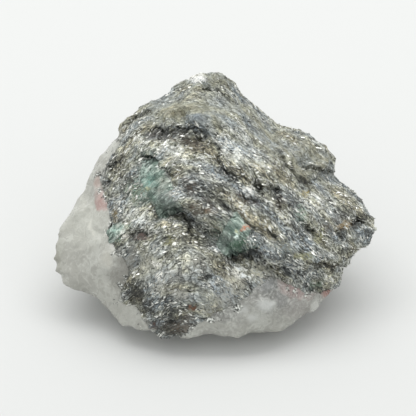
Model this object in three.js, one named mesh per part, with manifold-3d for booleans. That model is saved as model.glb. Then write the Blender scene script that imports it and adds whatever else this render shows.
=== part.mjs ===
// A rough emerald as it comes from the mine: a broken lump of dark mica schist, with white
// quartz down its left side and under it, and emerald crystals that the break has laid open.
// Millimetres, +Z up. The origin is the middle of the small flat spot that the stone rests on,
// +X is to the right of the broad face, and the face looks forward, to -Y, and up.

import * as THREE from "three";
import { ConvexHull } from "three/addons/math/ConvexHull.js";
import { ImprovedNoise } from "three/addons/math/ImprovedNoise.js";
import { mergeVertices } from "three/addons/utils/BufferGeometryUtils.js";
import Module from "manifold-3d";

const wasm = await Module();
wasm.setup();

// The broad face leans back by LEAN from upright, and its own middle is FACE_HEIGHT above the
// surface that the stone rests on. Its landmarks are read along sight lines from one point,
// SIGHT in front of it.
const LEAN = THREE.MathUtils.degToRad(38);
const FACE_HEIGHT = 21;
const SIGHT = 340;

// The stone's outside is measured outward from this inner point, in this many directions if
// they were all round it: more on the side that the broad face is on. A direction is on that side
// while its share out of the face is above FACE_SIDE_FROM.
const HEART = new THREE.Vector3(0, 1, 16.5);
const FACE_DIRECTIONS = 4150;
const BACK_DIRECTIONS = 1500;
const FACE_SIDE_FROM = -0.35;
const DIRECTION_WANDER = 0.3;
const LANDMARK_CLEARANCE = THREE.MathUtils.degToRad(1.5);

// The break runs along the mica's layers: the long, low lumps and ledges lie in this grain.
const GRAIN_NORMAL = new THREE.Vector3(0.42, 0.36, 0.83).normalize();
const LUMP_LENGTH = 7;
const LUMP_RELIEF = 0.8;
const LEDGE_SPACING = 6.5;
const LEDGE_DEPTH = 0.7;
const LEDGE_WANDER = 4;
const LEDGE_RISING_SHARE = 0.8;
const CHIP_LENGTH = 5;
const CHIP_RELIEF = 0.7;
// The two kinds of relief pass into each other over this depth on both sides of the contact.
const CONTACT_BLEND = 0.8;
// Near the outline's landmarks the relief is less, so that the outline keeps its measure.
const OUTLINE_CALM = 5;
const OUTLINE_RELIEF = 0.35;

// Mineral bodies keep this distance to each other.
const SEAM = 0.3;
const SEAM_GRID = 3.8;
const SEAM_WAVE_LENGTH = 7;
const SEAM_WAVE = 2;
const REACH = 45;

// Emerald crystals are six-sided prisms, a little narrower at one end, grown crooked by a share of
// their width and broken off with the face. Place and direction are in the broad face's frame.
const CROOKEDNESS = 0.17;
const CROOK_LENGTH = 1.3;
const NARROW_END = 0.9;
const CRYSTALS = [
  {
    name: "emerald_upper",
    at: [-11.2, 3.6, 6.6],
    along: [0.42, -0.88, 0.06],
    across: 6.6,
    length: 11.5,
    turn: 10,
  },
  {
    name: "emerald_middle",
    at: [4, -6.2, 9.6],
    along: [0.5, 0.8, 0.15],
    across: 5.4,
    length: 7.6,
    turn: 25,
  },
  {
    name: "emerald_left",
    at: [-19.4, -5.4, 4.6],
    along: [0.75, 0.5, 0.3],
    across: 3.2,
    length: 4.4,
    turn: 0,
  },
];

// Landmarks of the broad face: [mm across, mm up the face, mm out of it].
const FACE_LANDMARKS = {
  // The outline, clockwise from the top of the knob.
  outline: [
    [-0.4, 26.8, -8], [1.5, 26.2, -8], [4.2, 24.4, -8], [6.5, 21.7, -8], [8.8, 19.4, -8.5],
    [13.4, 15.8, -9], [18, 14.8, -8.5], [22.6, 12, -8], [24.4, 9.3, -8], [25.3, 4.9, -7],
    [28.1, 2.6, -5.5], [29, 1.5, -5], [30.9, -0.8, -3.5], [32.5, -2.7, -2.5], [32.7, -5, -2],
    [31.3, -7.7, -1.5], [29.5, -8.6, -1], [26.5, -12.3, -1], [25.3, -16.5, 0], [22.6, -18.3, 1],
    [20.3, -20.6, 2], [15.7, -23.8, 3.5], [14.3, -25.4, 4], [8.8, -25.2, 5.5], [4.7, -26.8, 6],
    [0.1, -25.9, 6], [-5.4, -26.9, 6], [-9.1, -26.8, 5.5], [-15.1, -25.2, 4.5], [-18.7, -24.3, 3.5],
    [-20.6, -22, 2.5], [-23.3, -19.2, 1], [-25.2, -17.2, 0.5], [-27.9, -17.1, 0], [-30.7, -16, -1],
    [-32, -13.2, -1.5], [-32.7, -10.9, -2], [-32, -8.2, -3], [-30.9, -4.5, -4], [-27.9, 1, -5],
    [-25.6, 4.2, -5.5], [-23.8, 8.3, -5.5], [-21, 11.6, -6], [-18.7, 15.7, -6.5], [-17.4, 17.5, -7],
    [-15.1, 19.8, -7.5], [-12.3, 21, -8], [-9.1, 22.1, -8], [-7.7, 24.6, -8], [-4.5, 25.8, -8],
  ],
  // The knob that stands behind the crest, and the notch at its foot.
  knob: [
    [-2.7, 24.9, -4.5], [1.9, 23.9, -4.5], [-6.3, 22.8, -5], [-1.3, 22.4, -3], [4.2, 21.6, -5],
    [-7.3, 21, -5], [-1.7, 21, -4.2], [4.7, 20.4, -6],
  ],
  // The crest, from the left shoulder to the right edge.
  crest: [
    [-16.6, 16.6, -3], [-14.2, 18, -2.5], [-11.4, 19, -2], [-6.8, 20, -1], [-1.4, 20.2, -0.5],
    [4, 19.8, -1.5], [7.2, 17, -2], [10.8, 12.6, 0], [13.4, 8.2, 2], [17.6, 5.2, 1.5],
    [20.8, 3, 1], [24.8, 0, 0],
  ],
  // The valley behind the crest on the right, and the lump behind it.
  rightLump: [
    [11.6, 14.2, -5], [14.6, 11, -4], [16.8, 7.6, -2.8], [20.2, 4.6, -3], [18.2, 11, -2.5],
    [21.6, 8, -3], [17.2, 13.6, -5.5],
  ],
  rightKnob: [
    [29.2, -1.4, -1.5], [30.2, -4.6, 0.5], [27.8, -2.6, -1.5], [26.2, -6, 2], [28.2, -8.6, 0.8],
  ],
  // The smooth shoulder under the crest, the lip at its foot and the hollow below that.
  shoulder: [
    [-18.8, 13, -2], [-14.8, 15.6, 0.5], [-9.8, 17.2, 2.8], [-3.8, 17.6, 3.8], [2.2, 17, 3.3],
    [6.2, 14, 2.8], [-12.8, 15, 3.2], [-8.8, 15.4, 5], [-4.8, 15.4, 5.5], [-0.8, 14.4, 5.6],
    [0.8, 12.8, 5.8],
  ],
  hollow: [
    [-12.4, 14, 1.6], [-8.8, 13.6, 2], [-5.8, 13.2, 2.2], [-3, 12.4, 2.6], [-0.8, 11.8, 3.6],
  ],
  // The bright shelf under the hollow.
  shelf: [
    [-15.8, 12.6, 2], [-14.8, 11, 4.4], [-9.8, 12.2, 5.2], [-5.8, 11.2, 6], [-2.8, 10.4, 6.6],
    [1.6, 11, 6.4], [-12.8, 8.8, 6.4], [-6.8, 8.6, 8.2], [-1.8, 8, 9], [4.2, 9.4, 7.6],
    [8.2, 7, 7], [11.2, 4, 6.6],
  ],
  // The middle of the face, with the pit between the two larger crystals.
  middle: [
    [-21.8, 8, -1], [-19.8, 4.6, 2.4], [-16.8, 7, 4.8], [-12.4, 4, 8.2], [-9.8, 0.6, 9.6],
    [-14.8, 1, 7.4], [-18.8, 0, 4.6], [-4.8, 3, 9.4], [0.2, 4, 9.4], [5.2, 2, 9.2],
    [9.6, 0.4, 8.8], [14.2, 1, 6.8], [17.2, -2, 6.4], [21.2, -2, 4.4], [-7.6, -1.8, 5.8],
    [-10.8, -3.4, 9.6], [-4.8, 0.2, 9.8], [-3.8, -4, 9.4], [-4.4, -7, 9.6], [-0.4, -4, 9.8],
    [-0.4, -7.8, 9.4], [4.2, -5, 10.4], [8.2, -3.6, 10], [12.2, -5, 9.6], [17.2, -7, 8.2],
    [22.2, -7, 5.4], [13.2, -9, 10.2],
  ],
  // The lip that runs across to the right, and the ground under it.
  lowerLip: [
    [-1.4, -9.6, 10.4], [2.4, -9.4, 11], [5.4, -9, 11.4], [9.6, -10, 11.6], [12.8, -11.2, 11],
    [17.2, -12, 9.2], [20.8, -10.4, 8], [24.2, -11, 5.2],
  ],
  underLip: [
    [1.4, -11, 8.6], [4.4, -10.8, 7.8], [7.4, -11, 7.6], [10.8, -12.6, 7.6], [14.2, -13.2, 6.8],
    [18.4, -14, 5.6], [21, -12.4, 5],
  ],
  // The lower band, down to the dark tongue that reaches the foot.
  lowerBand: [
    [-14.8, -4, 8.6], [-12.8, -8, 10], [-7.8, -8, 11], [-1.8, -11.4, 11], [-6.8, -13, 11.6],
    [-11.8, -14, 10.2], [0.2, -15, 10.6], [6.2, -14, 10], [-4.8, -19, 10], [1.2, -19, 9.6],
    [-9.8, -20, 9.6], [-14.8, -18.6, 8], [-12.8, -22.6, 7], [-6.8, -23.4, 8.4], [-0.8, -23, 8],
    [4.2, -23, 8],
  ],
  // The quartz on the right of the foot, and the schist over it.
  rightFoot: [
    [10.2, -16, 9.6], [9.6, -20, 8.6], [14.2, -19, 7.4], [17.2, -20.4, 4.6], [13.2, -23, 5.6],
    [21.2, -16.4, 3.4], [23.2, -14, 3.6],
  ],
  // The quartz on the left, which falls away to the left edge.
  leftFlank: [
    [-24.8, -2, 0], [-27.8, -7, -1], [-22.8, -7, 3.4], [-28.8, -12, -0.6], [-23.8, -12, 3.4],
    [-18.8, -11.4, 7], [-19.8, -16, 5.2], [-24.4, -16, 2.2], [-17.8, -21, 4.8],
  ],
};

// Landmarks of the back and the underside, which the face hides: [x, y, z].
const BACK_LANDMARKS = [
  [-1, 25, 31.5], [-8, 23.5, 28.5], [7, 23, 27.5], [14, 20.5, 23.5], [21, 16.5, 18.5],
  [-16, 20, 23.5], [-22, 14, 18.5], [0, 27, 21], [-10, 25, 17], [10, 24.5, 16],
  [-18, 19, 11], [19, 18.5, 11],
  [-1, 25, 10], [-10, 19, 5], [9, 19, 5], [27, 8, 12], [25, 10.5, 17.5], [29, 1.5, 10.5],
  [-28, 5, 12.5], [-25, 8, 8.5], [-29, -2, 8], [24, 3, 5.5], [22, -5, 4.5], [17, -11, 2.8],
  [-23, 0, 4.5], [-21, -7, 3.6], [-16, -13, 2.4], [-17, 10, 3.4], [17, 12, 3.6], [-7, -16.5, 2],
  [6, -17, 2.2],
];
// The resting spot's rim, set a little low and then cut off flat.
const RESTING_RIM = [
  [-8, -8, -1.2], [0, -10.5, -1.2], [8, -8, -1.2], [10, 0, -1.2], [7, 8, -1.2], [0, 9.5, -1.2],
  [-7, 8, -1.2], [-10, 0, -1.2], [0, 0, -1.4],
];

// Scoops that the break left in the face, each under a lip: [across, up] is the middle of the
// lip, half its length, the fall's width below it, its slope in degrees and the scoop's depth.
// The fall begins, is at its deepest and ends at these shares of its width below the lip.
const FALL_BEGINS = -0.15;
const FALL_DEEPEST = 0.2;
const FALL_ENDS = 1.3;
const SCOOPED_DOWN_TO = -10;
const SCOOPS = [
  // hollow under the shoulder
  { lip: [-11.8, 15], half: 2, width: 2.2, slope: 0, depth: 1 },
  { lip: [-5, 15], half: 4.2, width: 3.4, slope: -8, depth: 1.4 },
  // crack over the upper crystal
  { lip: [-12.8, 10.2], half: 2.8, width: 1.3, slope: -18, depth: 0.9 },
  // ear-shaped groove in the shelf and its tail
  { lip: [1.2, 9.8], half: 3, width: 1.6, slope: -80, depth: 1.6 },
  { lip: [4.4, 6], half: 3.4, width: 2.2, slope: -24, depth: 1.3 },
  { lip: [-4.8, 3.6], half: 1.4, width: 1.4, slope: -10, depth: 1 },
  // pit between the crystals and the valley that runs down from it
  { lip: [-7.8, -0.6], half: 3.2, width: 3, slope: -10, depth: 1.8 },
  { lip: [-3.4, -3.4], half: 2, width: 1.8, slope: -55, depth: 1 },
  { lip: [0.4, -5], half: 3, width: 2.6, slope: -50, depth: 1.4 },
  // lip over the lower band
  { lip: [6.2, -9], half: 4.8, width: 2.4, slope: -14, depth: 1.8 },
  { lip: [11, -10.6], half: 2.4, width: 2, slope: -40, depth: 1.4 },
  { lip: [15, -11.6], half: 3, width: 2, slope: -28, depth: 1.3 },
  { lip: [21.4, -10.8], half: 4, width: 1.3, slope: -6, depth: 0.9 },
  // streaked ground on the right
  { lip: [9.8, 4], half: 2.6, width: 2.4, slope: -38, depth: 1.3 },
  { lip: [5.8, 2], half: 2, width: 1.5, slope: -25, depth: 0.9 },
  { lip: [9.6, -4.6], half: 2.2, width: 1.7, slope: -36, depth: 0.9 },
  { lip: [14.4, 2.4], half: 3, width: 1.6, slope: -45, depth: 0.8 },
  { lip: [27.6, -2.8], half: 3, width: 2, slope: 28, depth: 1.6 },
  { lip: [23.2, 7], half: 2.6, width: 1.2, slope: -20, depth: 0.8 },
  // left of the face
  { lip: [-13.8, -5.2], half: 2.4, width: 2, slope: -12, depth: 1.2 },
  { lip: [-19.2, 9], half: 2.2, width: 2.4, slope: 48, depth: 0.9 },
  { lip: [-20, -7], half: 1.4, width: 1.6, slope: 20, depth: 0.9 },
  // dark mica of the lower band and the tongue
  { lip: [-16.6, -16.4], half: 2.2, width: 2.6, slope: 0, depth: 1.2 },
  { lip: [-9.8, -19.4], half: 4, width: 2.2, slope: 6, depth: 1.1 },
  { lip: [-7, -22.8], half: 2.8, width: 3, slope: 8, depth: 1.3 },
  { lip: [-0.2, -20.6], half: 2, width: 1.6, slope: -50, depth: 0.9 },
  { lip: [20.4, -15.6], half: 3, width: 1.6, slope: -12, depth: 0.8 },
  // knob and left shoulder
  { lip: [0.8, 23.6], half: 3.4, width: 1.5, slope: -18, depth: 0.9 },
  { lip: [2.2, 21.2], half: 3, width: 1.2, slope: -12, depth: 0.9 },
  { lip: [-13.6, 20], half: 1.8, width: 1.6, slope: 10, depth: 0.9 },
];

// The quartz's two walls against the schist: an upright one on the left and a flat one below.
const LEFT_WALL = { x: -20, leanPerMm: -0.05, atHeight: 19.5 };
const FLOOR_WALL = { z: 8.7, risePerMm: 0.05 };
// Where a wall swells towards the schist (+) or gives way to it (-): centre, spread and amount.
const LEFT_SWELLS = [
  { at: [-12.6, 14.4], spread: [3.6, 4], by: 5 },
  { at: [3.5, 23.5], spread: [5, 4], by: -2.8 },
  { at: [11, 30.5], spread: [8, 5], by: 1.4 },
];
const FLOOR_SWELLS = [
  { at: [-9.5, -21], spread: [3.8, 5], by: -7 },
  { at: [10.4, -17], spread: [4.8, 5], by: 8.8 },
  { at: [1.6, -20], spread: [3.4, 4], by: 3.4 },
  { at: [18, -14], spread: [4, 5], by: 2 },
  { at: [-17, -16], spread: [3.5, 4], by: 1.6 },
];

const perlin = new ImprovedNoise();

// The stone's own frame for a point of the broad face, and the other way round.
function fromFace([across, up, out]) {
  const narrowing = 1 - out / SIGHT;
  return faceVector([across * narrowing, up * narrowing, out]).add(new THREE.Vector3(0, 0, FACE_HEIGHT));
}

function toFace({ x, y, z }) {
  const out = (z - FACE_HEIGHT) * Math.sin(LEAN) - y * Math.cos(LEAN);
  const up = y * Math.sin(LEAN) + (z - FACE_HEIGHT) * Math.cos(LEAN);
  const narrowing = 1 - out / SIGHT;
  return [x / narrowing, up / narrowing, out];
}

function faceVector([across, up, out]) {
  return new THREE.Vector3(
    across,
    up * Math.sin(LEAN) - out * Math.cos(LEAN),
    up * Math.cos(LEAN) + out * Math.sin(LEAN),
  );
}

function directionTo(point) {
  return point.clone().sub(HEART).normalize();
}

// Triangles over the whole sphere of directions, each as the places of its corners in the list.
function trianglesBetween(directions) {
  const placeOf = new Map(directions.map((direction, place) => [direction, place]));
  return new ConvexHull().setFromPoints(directions).faces.map((face) => {
    const corners = [face.edge.tail(), face.edge.head(), face.edge.next.head()];
    return corners.map((corner) => placeOf.get(corner.point));
  });
}

// Evenly spread directions, as seeds lie in a sunflower, each a little off its place.
function spreadDirections(count) {
  const goldenAngle = Math.PI * (3 - Math.sqrt(5));
  const spacing = Math.sqrt((4 * Math.PI) / count);
  return Array.from({ length: count }, (_, i) => {
    const height = 1 - (2 * i + 1) / count;
    const radius = Math.sqrt(1 - height * height);
    const turn = goldenAngle * i;
    const place = new THREE.Vector3(radius * Math.cos(turn), radius * Math.sin(turn), height);
    const wander = new THREE.Vector3(Math.sin(7.1 * i), Math.sin(11.3 * i), Math.sin(5.7 * i));
    return place.addScaledVector(wander, DIRECTION_WANDER * spacing).normalize();
  });
}

// The directions in which the stone is measured: the landmarks' own, and others between them.
function measuringDirections(landmarks) {
  const own = landmarks.map(directionTo);
  const outOfFace = faceVector([0, 0, 1]);
  const isOnFaceSide = (direction) => direction.dot(outOfFace) > FACE_SIDE_FROM;
  const nearest = Math.cos(LANDMARK_CLEARANCE);
  const between = [
    ...spreadDirections(FACE_DIRECTIONS).filter(isOnFaceSide),
    ...spreadDirections(BACK_DIRECTIONS).filter((direction) => !isOnFaceSide(direction)),
  ].filter((direction) => own.every((other) => other.dot(direction) < nearest));
  return [...own, ...between];
}

// How far the flat facets between landmarks lie from the heart in one direction.
function facetDistance(facets, direction) {
  const ray = new THREE.Ray(HEART, direction);
  const hit = new THREE.Vector3();
  for (const { a, b, c } of facets) {
    if (ray.intersectTriangle(a, b, c, false, hit)) {
      return hit.distanceTo(HEART);
    }
  }
  throw new Error("the landmarks leave a gap");
}

// Smooth noise from -1 to 1 with features of a length; each offset gives another pattern.
function noise({ x, y, z }, length, offset = 0) {
  return perlin.noise(x / length + offset, y / length + offset, z / length + offset);
}

// A swell of one wall of the quartz at a place in that wall's plane.
function swell(swells, u, v) {
  return swells.reduce((sum, { at, spread, by }) => {
    const away = ((u - at[0]) / spread[0]) ** 2 + ((v - at[1]) / spread[1]) ** 2;
    return sum + by * Math.exp(-away);
  }, 0);
}

function leftWallX(y, z) {
  const waves = SEAM_WAVE * noise({ x: 0, y, z }, SEAM_WAVE_LENGTH, 3.1);
  const lean = (z - LEFT_WALL.atHeight) * LEFT_WALL.leanPerMm;
  return LEFT_WALL.x + lean + swell(LEFT_SWELLS, y, z) + waves;
}

function floorWallZ(x, y) {
  const waves = SEAM_WAVE * noise({ x, y, z: 0 }, SEAM_WAVE_LENGTH, 8.7);
  return FLOOR_WALL.z + y * FLOOR_WALL.risePerMm + swell(FLOOR_SWELLS, x, y) + waves;
}

// How deep a point is in the schist, in mm: below 0 it is in the quartz.
function depthInSchist({ x, y, z }) {
  return Math.min(x - leftWallX(y, z), z - floorWallZ(x, y));
}

// Schist breaks in long low lumps and in ledges along its layers.
function schistRelief(point) {
  const lumps = noise(point, LUMP_LENGTH) + 0.5 * noise(point, LUMP_LENGTH / 2, 5.3);
  const layer = point.dot(GRAIN_NORMAL) + LEDGE_WANDER * noise(point, LUMP_LENGTH * 1.3, 2.7);
  const step = THREE.MathUtils.euclideanModulo(layer / LEDGE_SPACING, 1);
  const rising = LEDGE_RISING_SHARE;
  const ledge = step < rising ? step / rising : (1 - step) / (1 - rising);
  return LUMP_RELIEF * lumps + LEDGE_DEPTH * (ledge - 0.5);
}

// Quartz breaks in shallow shells with ridges between them.
function quartzRelief(point) {
  const large = Math.abs(noise(point, CHIP_LENGTH, 1.9));
  const small = Math.abs(noise(point, CHIP_LENGTH / 2, 6.1));
  return CHIP_RELIEF * (0.5 - 2 * large - small);
}

function relief(point, outline) {
  const { smoothstep, lerp } = THREE.MathUtils;
  const share = smoothstep(depthInSchist(point), -CONTACT_BLEND, CONTACT_BLEND);
  const full = share * schistRelief(point) + (1 - share) * quartzRelief(point);
  const away = Math.min(...outline.map((landmark) => landmark.distanceTo(point)));
  return full * lerp(OUTLINE_RELIEF, 1, smoothstep(away, 0, OUTLINE_CALM));
}

// A scoop falls steeply from its lip and rises gently again below it.
function scoopDepth(point) {
  const { smoothstep, degToRad } = THREE.MathUtils;
  const [across, up, out] = toFace(point);
  if (out < SCOOPED_DOWN_TO) {
    return 0;
  }
  return SCOOPS.reduce((sum, { lip, half, width, slope, depth }) => {
    const turn = degToRad(slope);
    const [right, rise] = [across - lip[0], up - lip[1]];
    const along = (right * Math.cos(turn) + rise * Math.sin(turn)) / half;
    const below = (right * Math.sin(turn) - rise * Math.cos(turn)) / width;
    const fallen = smoothstep(below, FALL_BEGINS, FALL_DEEPEST);
    const risen = smoothstep(below, FALL_DEEPEST, FALL_ENDS);
    return sum + depth * fallen * (1 - risen) * Math.exp(-(along ** 2));
  }, 0);
}

function solidFrom(geometry) {
  const bare = new THREE.BufferGeometry();
  bare.setAttribute("position", geometry.getAttribute("position"));
  bare.setIndex(geometry.getIndex());
  const merged = mergeVertices(bare, 1e-4);
  return new wasm.Manifold(
    new wasm.Mesh({
      numProp: 3,
      vertProperties: new Float32Array(merged.getAttribute("position").array),
      triVerts: new Uint32Array(merged.getIndex().array),
    }),
  );
}

function boxSolid(size, centre) {
  return solidFrom(new THREE.BoxGeometry(...size).translate(...centre));
}

// The whole stone, before it is told apart into its minerals.
function wholeStone() {
  const outline = FACE_LANDMARKS.outline.map(fromFace);
  const landmarks = [
    ...Object.values(FACE_LANDMARKS).flat().map(fromFace),
    ...[...BACK_LANDMARKS, ...RESTING_RIM].map((place) => new THREE.Vector3(...place)),
  ];
  const facets = trianglesBetween(landmarks.map(directionTo)).map(
    ([a, b, c]) => new THREE.Triangle(landmarks[a], landmarks[b], landmarks[c]),
  );
  const directions = measuringDirections(landmarks);
  const surface = directions.map((direction, place) => {
    const distance = landmarks[place]?.distanceTo(HEART) ?? facetDistance(facets, direction);
    const point = HEART.clone().addScaledVector(direction, distance);
    return point.addScaledVector(direction, relief(point, outline) - scoopDepth(point));
  });
  const geometry = new THREE.BufferGeometry().setFromPoints(surface);
  geometry.setIndex(trianglesBetween(directions).flat());
  const below = boxSolid([4 * REACH, 4 * REACH, REACH], [0, 0, -REACH / 2]);
  return solidFrom(geometry).subtract(below);
}

// A block of everything past a wavy wall. wallAt(u, v) is the wall's place, and place(u, v, w)
// turns the wall's own directions into the stone's.
function pastWall(wallAt, place, back) {
  const steps = Math.round((2 * REACH) / SEAM_GRID);
  const block = new THREE.BoxGeometry(2 * REACH, 2 * REACH, 2, steps, steps, 1);
  const position = block.getAttribute("position");
  for (let i = 0; i < position.count; i += 1) {
    const [u, v] = [position.getX(i), position.getY(i)];
    const w = position.getZ(i) < 0 ? wallAt(u, v) - back : 2 * REACH;
    position.setXYZ(i, ...place(u, v, w));
  }
  return solidFrom(block);
}

// The schist's side of both walls, drawn back by a distance.
function schistSide(back) {
  const rightOfLeftWall = pastWall(leftWallX, (u, v, w) => [w, u, v], back);
  const aboveFloorWall = pastWall(floorWallZ, (u, v, w) => [u, v, w], back);
  return rightOfLeftWall.intersect(aboveFloorWall);
}

// One crystal, or its pocket in the stone, which is the crystal grown on all sides.
function crystalSolid({ at, along, across, length, turn }, growth) {
  const radius = across / 2 + growth;
  const height = length + 2 * growth;
  const prism = new THREE.CylinderGeometry(radius, radius * NARROW_END, height, 6, 3);
  const corners = prism.getAttribute("position");
  for (let i = 0; i < corners.count; i += 1) {
    const corner = new THREE.Vector3().fromBufferAttribute(corners, i);
    const place = new THREE.Vector3(1 / radius, 3 / height, 1 / radius).multiply(corner);
    corner.x += CROOKEDNESS * across * noise(place, CROOK_LENGTH, length);
    corner.y += 2 * CROOKEDNESS * across * noise(place, CROOK_LENGTH, length + 4.4);
    corner.z += CROOKEDNESS * across * noise(place, CROOK_LENGTH, length + 8.8);
    corners.setXYZ(i, ...corner);
  }
  prism.rotateY(THREE.MathUtils.degToRad(turn));
  const upright = new THREE.Vector3(0, 1, 0);
  const lie = new THREE.Quaternion().setFromUnitVectors(upright, faceVector(along).normalize());
  prism.applyQuaternion(lie);
  prism.translate(...fromFace(at).toArray());
  return solidFrom(prism);
}

// The largest body of a solid: slivers that a cut leaves behind are dropped.
function largestBody(solid) {
  return solid.decompose().reduce((largest, body) =>
    body.volume() > largest.volume() ? body : largest,
  );
}

function meshOf(name, solid, material) {
  const mesh = largestBody(solid).getMesh();
  const geometry = new THREE.BufferGeometry();
  geometry.setAttribute("position", new THREE.BufferAttribute(new Float32Array(mesh.vertProperties), 3));
  geometry.setIndex(new THREE.BufferAttribute(new Uint32Array(mesh.triVerts), 1));
  geometry.computeVertexNormals();
  const made = new THREE.Mesh(geometry, material);
  made.name = name;
  return made;
}

const MATERIALS = {
  schist: new THREE.MeshStandardMaterial({ color: 0x6f6f6b, roughness: 0.45, metalness: 0.25 }),
  quartz: new THREE.MeshStandardMaterial({ color: 0xc2c0ba, roughness: 0.35, metalness: 0 }),
  emerald: new THREE.MeshStandardMaterial({ color: 0x5f8f7c, roughness: 0.2, metalness: 0 }),
};

const whole = wholeStone();
const crystals = CRYSTALS.map((crystal) => ({
  name: crystal.name,
  solid: whole.intersect(crystalSolid(crystal, 0)),
  pocket: crystalSolid(crystal, SEAM),
}));
const pockets = crystals.map(({ pocket }) => pocket).reduce((all, pocket) => all.add(pocket));

const stone = new THREE.Group();
stone.add(meshOf("mica_schist", whole.intersect(schistSide(0)).subtract(pockets), MATERIALS.schist));
stone.add(meshOf("milky_quartz", whole.subtract(schistSide(SEAM)).subtract(pockets), MATERIALS.quartz));
for (const { name, solid } of crystals) {
  stone.add(meshOf(name, solid, MATERIALS.emerald));
}

export default stone;
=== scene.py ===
# The looks of a rough emerald as it comes from the mine: glittering mica schist grown together
# with milky quartz, and cloudy green emerald crystals that the break has laid open.
# Metres in Blender, millimetres in the sections' own values.

import math

import bpy
import numpy as np
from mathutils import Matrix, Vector, noise
from mathutils.kdtree import KDTree


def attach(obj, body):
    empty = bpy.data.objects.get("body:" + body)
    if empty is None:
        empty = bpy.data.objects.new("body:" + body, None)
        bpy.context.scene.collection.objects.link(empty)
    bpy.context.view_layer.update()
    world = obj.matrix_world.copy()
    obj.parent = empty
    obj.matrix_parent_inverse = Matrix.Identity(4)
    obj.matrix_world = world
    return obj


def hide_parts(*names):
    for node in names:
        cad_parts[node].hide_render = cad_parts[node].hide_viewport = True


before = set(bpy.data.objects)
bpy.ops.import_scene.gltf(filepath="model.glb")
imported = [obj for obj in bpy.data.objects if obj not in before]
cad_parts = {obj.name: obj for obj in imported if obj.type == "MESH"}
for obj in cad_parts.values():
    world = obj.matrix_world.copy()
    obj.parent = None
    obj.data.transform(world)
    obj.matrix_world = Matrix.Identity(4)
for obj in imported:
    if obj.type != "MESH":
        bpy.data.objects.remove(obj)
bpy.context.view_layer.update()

MM = 0.001

# The broad face and the camera. The stone's broken face leans back by 38 degrees, and the
# camera looks at it squarely from 340 mm, a usual distance for a close-up of a hand specimen.
LEAN = math.radians(38)
FACE_MIDDLE = np.array([0, 0, 21])
SIGHT = 340
ACROSS = np.array([1, 0, 0])
UP_FACE = np.array([0, math.sin(LEAN), math.cos(LEAN)])
OUT_OF_FACE = np.array([0, -math.cos(LEAN), math.sin(LEAN)])
PICTURE_SIDE = 416
PIXELS_PER_RADIAN = 1700
AIM_ACROSS = -1.2
AIM_UP = -0.6


def face_places(points):
    """Points of the stone, as mm across, up and out of the broad face, as the camera sees them."""
    away = points - FACE_MIDDLE
    out = away @ OUT_OF_FACE
    nearness = SIGHT / (SIGHT - out)
    return np.column_stack([away @ ACROSS * nearness, away @ UP_FACE * nearness, out])


camera = bpy.data.objects.new("Camera", bpy.data.cameras.new("Camera"))
bpy.context.scene.collection.objects.link(camera)
bpy.context.scene.camera = camera
camera.data.lens = camera.data.sensor_width * PIXELS_PER_RADIAN / PICTURE_SIDE
camera.data.clip_start = 0.01
camera.location = Vector(
    (FACE_MIDDLE + AIM_ACROSS * ACROSS + AIM_UP * UP_FACE + SIGHT * OUT_OF_FACE) * MM
)
camera.rotation_mode = "QUATERNION"
camera.rotation_quaternion = Vector(-OUT_OF_FACE).to_track_quat("-Z", "Y")


# The pieces' surfaces: each CAD node in small even quads, with its facets eased. The pieces have
# grown together, so near a seam each is drawn to its neighbours until no gap is left.
# [size of the quads in mm, steps of easing]
SURFACES = {
    "mica_schist": (0.31, 3),
    "milky_quartz": (0.38, 20),
    "emerald_upper": (0.25, 2),
    "emerald_middle": (0.25, 2),
    "emerald_left": (0.25, 2),
}
SEAM_REACH = 1.2
SEAM_SHARE = 0.6


def surface_copy(node, voxel, smoothing):
    """A piece with the shape of a CAD node, in even small quads and with its facets eased."""
    name = node + "_surface"
    piece = bpy.data.objects.new(name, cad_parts[node].data.copy())
    bpy.context.scene.collection.objects.link(piece)
    remesh = piece.modifiers.new("Even quads", "REMESH")
    remesh.mode = "VOXEL"
    remesh.voxel_size = voxel * MM
    ease = piece.modifiers.new("Eased facets", "SMOOTH")
    ease.factor = 0.5
    ease.iterations = smoothing
    evaluated = piece.evaluated_get(bpy.context.evaluated_depsgraph_get())
    mesh = bpy.data.meshes.new_from_object(evaluated)
    piece.modifiers.clear()
    piece.data = mesh
    mesh.name = name
    mesh.materials.clear()
    return piece


def vertex_points(mesh):
    """The vertices of a mesh, in mm."""
    points = np.empty(len(mesh.vertices) * 3, np.float32)
    mesh.vertices.foreach_get("co", points)
    return points.reshape(-1, 3).astype(float) / MM


def nearest_steps(points, others):
    """The step from each point to the nearest of other points, and its length, in mm."""
    tree = KDTree(len(others))
    for index, place in enumerate(others):
        tree.insert(place, index)
    tree.balance()
    found = [tree.find(place) for place in points]
    return np.array([hit[0] for hit in found]) - points, np.array([hit[2] for hit in found])


surfaces = {node: surface_copy(node, *settings) for node, settings in SURFACES.items()}
surface_points = {node: vertex_points(piece.data) for node, piece in surfaces.items()}
seam_steps = {}
for node, points in surface_points.items():
    others = np.concatenate([surface_points[other] for other in SURFACES if other != node])
    steps, distances = nearest_steps(points, others)
    share = SEAM_SHARE * np.clip(2 - 2 * distances / SEAM_REACH, 0, 1)
    seam_steps[node] = steps * share[:, None]


def raise_surface(node, heights):
    """Closes a piece's seams and moves its surface out by heights in mm, but not into what the
    stone rests on."""
    mesh = surfaces[node].data
    normals = np.empty(len(mesh.vertices) * 3, np.float32)
    mesh.vertices.foreach_get("normal", normals)
    moved = surface_points[node] + seam_steps[node] + normals.reshape(-1, 3) * heights[:, None]
    moved[:, 2] = np.maximum(moved[:, 2], 0)
    mesh.vertices.foreach_set("co", (moved * MM).astype(np.float32).ravel())
    mesh.update()


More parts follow.
